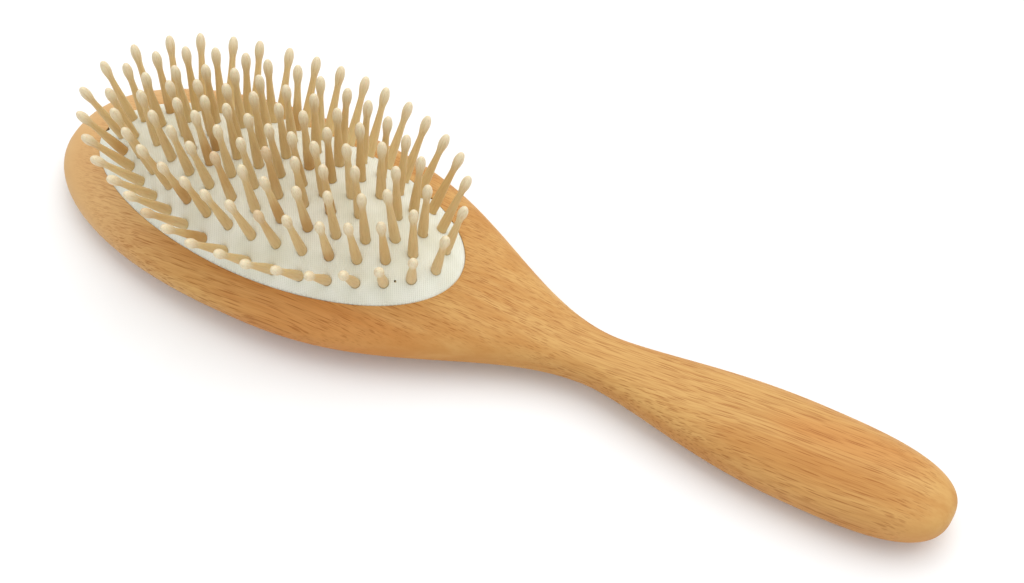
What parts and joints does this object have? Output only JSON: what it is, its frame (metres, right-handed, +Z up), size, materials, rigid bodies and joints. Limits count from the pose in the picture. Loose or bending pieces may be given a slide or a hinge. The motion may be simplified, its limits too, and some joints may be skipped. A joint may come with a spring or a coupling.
{
  "type": "cushioned wooden hairbrush",
  "caption": "Oval paddle hairbrush: one-piece beech head and handle, domed fabric-faced air cushion, and turned wooden pins with round tips.",
  "frame": {"origin": "middle of the small flat on the head's back, straight below the centre of the cushion's oval", "axes": "+X along the body towards the handle's butt, +Z up through the cushion and its pins, +Y across the head"},
  "size_m": [0.2313, 0.0611, 0.0451],
  "materials": {
    "body_wood": "satin lacquered beech",
    "cushion_rubber": "matte latex",
    "cushion_fabric": "fine ribbed weave",
    "pin_wood": "smooth turned pale wood"
  },
  "bodies": {
    "brush_body": {"wooden_body": "body_wood", "cushion_membrane": "cushion_rubber", "cushion_cloth": "cushion_fabric"},
    "centre_row": {"centre_row_pins": "pin_wood"},
    "inner_ring_tip": {"inner_ring_tip_pins": "pin_wood"},
    "inner_ring_handle": {"inner_ring_handle_pins": "pin_wood"},
    "inner_ring_left": {"inner_ring_left_pins": "pin_wood"},
    "inner_ring_right": {"inner_ring_right_pins": "pin_wood"},
    "third_ring_tip": {"third_ring_tip_pins": "pin_wood"},
    "third_ring_handle": {"third_ring_handle_pins": "pin_wood"},
    "third_ring_left": {"third_ring_left_pins": "pin_wood"},
    "third_ring_right": {"third_ring_right_pins": "pin_wood"},
    "second_ring_tip": {"second_ring_tip_pins": "pin_wood"},
    "second_ring_handle": {"second_ring_handle_pins": "pin_wood"},
    "second_ring_left": {"second_ring_left_pins": "pin_wood"},
    "second_ring_right": {"second_ring_right_pins": "pin_wood"},
    "outer_ring_tip": {"outer_ring_tip_pins": "pin_wood"},
    "outer_ring_handle": {"outer_ring_handle_pins": "pin_wood"},
    "outer_ring_left": {"outer_ring_left_pins": "pin_wood"},
    "outer_ring_right": {"outer_ring_right_pins": "pin_wood"}
  },
  "joints": [
    {"name": "cushion_press", "type": "slide", "parent": "brush_body", "child": "centre_row", "axis": [0, 0, -1], "range_m": [0, 0.005], "stiffness_N_per_m": 90, "deforming": ["cushion_membrane", "cushion_cloth"]},
    {"name": "inner_ring_tip_press", "type": "slide", "parent": "brush_body", "child": "inner_ring_tip", "axis": [0, 0, -1], "range_m": [0, 0.00464]},
    {"name": "inner_ring_handle_press", "type": "slide", "parent": "brush_body", "child": "inner_ring_handle", "axis": [0, 0, -1], "range_m": [0, 0.00463]},
    {"name": "inner_ring_left_press", "type": "slide", "parent": "brush_body", "child": "inner_ring_left", "axis": [0, 0, -1], "range_m": [0, 0.00494]},
    {"name": "inner_ring_right_press", "type": "slide", "parent": "brush_body", "child": "inner_ring_right", "axis": [0, 0, -1], "range_m": [0, 0.00494]},
    {"name": "third_ring_tip_press", "type": "slide", "parent": "brush_body", "child": "third_ring_tip", "axis": [0, 0, -1], "range_m": [0, 0.00401]},
    {"name": "third_ring_handle_press", "type": "slide", "parent": "brush_body", "child": "third_ring_handle", "axis": [0, 0, -1], "range_m": [0, 0.00379]},
    {"name": "third_ring_left_press", "type": "slide", "parent": "brush_body", "child": "third_ring_left", "axis": [0, 0, -1], "range_m": [0, 0.00447]},
    {"name": "third_ring_right_press", "type": "slide", "parent": "brush_body", "child": "third_ring_right", "axis": [0, 0, -1], "range_m": [0, 0.00448]},
    {"name": "second_ring_tip_press", "type": "slide", "parent": "brush_body", "child": "second_ring_tip", "axis": [0, 0, -1], "range_m": [0, 0.00312]},
    {"name": "second_ring_handle_press", "type": "slide", "parent": "brush_body", "child": "second_ring_handle", "axis": [0, 0, -1], "range_m": [0, 0.00292]},
    {"name": "second_ring_left_press", "type": "slide", "parent": "brush_body", "child": "second_ring_left", "axis": [0, 0, -1], "range_m": [0, 0.00343]},
    {"name": "second_ring_right_press", "type": "slide", "parent": "brush_body", "child": "second_ring_right", "axis": [0, 0, -1], "range_m": [0, 0.00342]},
    {"name": "outer_ring_tip_press", "type": "slide", "parent": "brush_body", "child": "outer_ring_tip", "axis": [0, 0, -1], "range_m": [0, 0.00229]},
    {"name": "outer_ring_handle_press", "type": "slide", "parent": "brush_body", "child": "outer_ring_handle", "axis": [0, 0, -1], "range_m": [0, 0.00165]},
    {"name": "outer_ring_left_press", "type": "slide", "parent": "brush_body", "child": "outer_ring_left", "axis": [0, 0, -1], "range_m": [0, 0.00186]},
    {"name": "outer_ring_right_press", "type": "slide", "parent": "brush_body", "child": "outer_ring_right", "axis": [0, 0, -1], "range_m": [0, 0.00185]}
  ],
  "couplings": [
    {"joint": "inner_ring_tip_press", "follows": "cushion_press", "ratio": 0.928},
    {"joint": "inner_ring_handle_press", "follows": "cushion_press", "ratio": 0.925},
    {"joint": "inner_ring_left_press", "follows": "cushion_press", "ratio": 0.987},
    {"joint": "inner_ring_right_press", "follows": "cushion_press", "ratio": 0.987},
    {"joint": "third_ring_tip_press", "follows": "cushion_press", "ratio": 0.801},
    {"joint": "third_ring_handle_press", "follows": "cushion_press", "ratio": 0.758},
    {"joint": "third_ring_left_press", "follows": "cushion_press", "ratio": 0.893},
    {"joint": "third_ring_right_press", "follows": "cushion_press", "ratio": 0.895},
    {"joint": "second_ring_tip_press", "follows": "cushion_press", "ratio": 0.623},
    {"joint": "second_ring_handle_press", "follows": "cushion_press", "ratio": 0.583},
    {"joint": "second_ring_left_press", "follows": "cushion_press", "ratio": 0.685},
    {"joint": "second_ring_right_press", "follows": "cushion_press", "ratio": 0.683},
    {"joint": "outer_ring_tip_press", "follows": "cushion_press", "ratio": 0.458},
    {"joint": "outer_ring_handle_press", "follows": "cushion_press", "ratio": 0.329},
    {"joint": "outer_ring_left_press", "follows": "cushion_press", "ratio": 0.371},
    {"joint": "outer_ring_right_press", "follows": "cushion_press", "ratio": 0.369}
  ]
}
